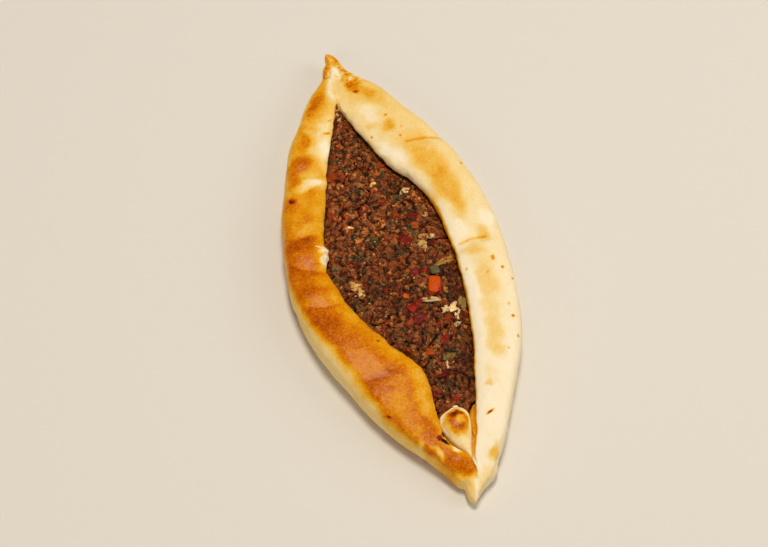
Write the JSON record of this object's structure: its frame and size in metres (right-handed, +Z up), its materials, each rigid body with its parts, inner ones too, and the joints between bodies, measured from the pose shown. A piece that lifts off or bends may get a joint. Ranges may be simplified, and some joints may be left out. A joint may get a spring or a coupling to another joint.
{
  "type": "open meat pie",
  "caption": "Boat-shaped open meat pie: a thick golden crust folded in along both sides over a spiced minced-meat filling with diced pepper, its two ends pinched shut.",
  "frame": {"origin": "on the floor under the middle of the pie's bounding box", "axes": "+Y along the pie to its twisted tip, +Z up, +X to the right when looking down with the twisted tip away"},
  "size_m": [0.131, 0.318, 0.0241],
  "materials": {
    "crust": "baked dough, pale cream to golden brown, washed with egg and softly glossy on the browned parts",
    "meat": "cooked minced meat, dark red-brown, crumbly and moist, with bits of pepper, onion and parsley",
    "pepper": "cooked red pepper, orange-red, moist"
  },
  "bodies": {
    "root": {"crust": "crust", "meat_filling": "meat", "pepper_dice": "pepper"}
  },
  "joints": []
}
